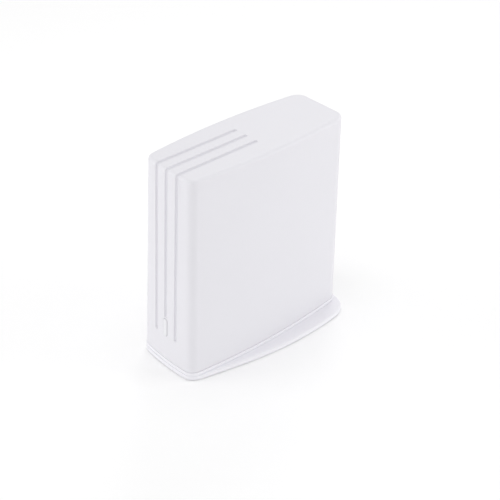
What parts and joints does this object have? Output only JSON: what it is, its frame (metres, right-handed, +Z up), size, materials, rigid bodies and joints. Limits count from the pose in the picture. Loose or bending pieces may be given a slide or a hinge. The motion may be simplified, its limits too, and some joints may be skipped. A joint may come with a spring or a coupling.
{
  "type": "cable modem",
  "caption": "Upright cable modem: white barrel-sided case with grooves over its front and top, on a leaf-shaped foot, sockets at the back.",
  "frame": {"origin": "centre of the whole modem's outline, on the surface it stands on", "axes": "+Z up; -Y out of the grooved front face; +Y out of the back with the sockets; +X to the right seen from the front"},
  "size_m": [0.1184, 0.2133, 0.22],
  "materials": {
    "cover_plastic": "fine-grained cool white moulded plastic",
    "foot_plastic": "fine-grained cool white moulded plastic",
    "panel_plastic": "matte white moulded plastic",
    "inner_plastic": "light grey moulded plastic",
    "rubber": "soft grey rubber",
    "steel": "zinc-plated screw steel",
    "circuit_board": "green solder mask over fibreglass laminate",
    "chip_black": "black epoxy package",
    "thermal_pad": "soft blue-grey heat-conducting pad",
    "aluminium": "extruded aluminium",
    "ferrite": "dark grey ferrite",
    "tin_plate": "tin-plated steel sheet",
    "jack_grey": "grey moulded plastic",
    "jack_black": "black moulded plastic",
    "gold": "gold-plated spring contact",
    "nickel": "nickel-plated brass",
    "insulator": "white fluoropolymer insulator",
    "led_clear": "clear epoxy lamp package",
    "light_plastic": "milky translucent light guide"
  },
  "bodies": {
    "case": {"housing_cover": "cover_plastic", "rear_panel": "panel_plastic", "foot": "foot_plastic", "foot_base_plate": "inner_plastic", "rubber_foot_1": "rubber", "rubber_foot_2": "rubber", "rubber_foot_3": "rubber", "rubber_foot_4": "rubber", "foot_screw_1": "steel", "foot_screw_2": "steel", "foot_screw_3": "steel", "foot_screw_4": "steel", "board_carrier": "inner_plastic", "main_board": "circuit_board", "board_screw_1": "steel", "board_screw_2": "steel", "board_screw_3": "steel", "board_screw_4": "steel", "modem_processor": "chip_black", "thermal_pad": "thermal_pad", "heat_sink": "aluminium", "memory_chip_1": "chip_black", "memory_chip_2": "chip_black", "flash_chip": "chip_black", "line_interface_chip": "chip_black", "lan_transformer_1": "chip_black", "lan_transformer_2": "chip_black", "power_inductor_1": "ferrite", "power_inductor_2": "ferrite", "power_capacitor_1": "tin_plate", "power_capacitor_2": "tin_plate", "power_capacitor_3": "tin_plate", "tuner_shield": "tin_plate", "lan_jack_1": "jack_grey", "lan_contacts_1": "gold", "lan_jack_2": "jack_grey", "lan_contacts_2": "gold", "phone_jack_1": "jack_black", "phone_contacts_1": "gold", "phone_jack_2": "jack_black", "phone_contacts_2": "gold", "power_inlet": "jack_black", "power_inlet_pin": "nickel", "power_switch_body": "jack_black", "reset_switch_body": "chip_black", "coax_connector": "nickel", "coax_insulator": "insulator", "coax_contact": "gold", "coax_nut": "nickel", "status_led_1": "led_clear", "status_led_2": "led_clear", "status_led_3": "led_clear", "status_led_4": "led_clear", "light_guide": "light_plastic"},
    "power_rocker": {"power_rocker": "jack_black"},
    "reset_button": {"reset_plunger": "inner_plastic"}
  },
  "joints": [
    {"name": "power_rocker_tilt", "type": "hinge", "parent": "case", "child": "power_rocker", "pos_m": [-0.0012, 0.09422, 0.07377], "axis": [1, 0, 0], "range_deg": [0, 16]},
    {"name": "reset_press", "type": "slide", "parent": "case", "child": "reset_button", "axis": [0, -0.9998, 0.021], "range_m": [0, 0.0004], "stiffness_N_per_m": 3000}
  ]
}
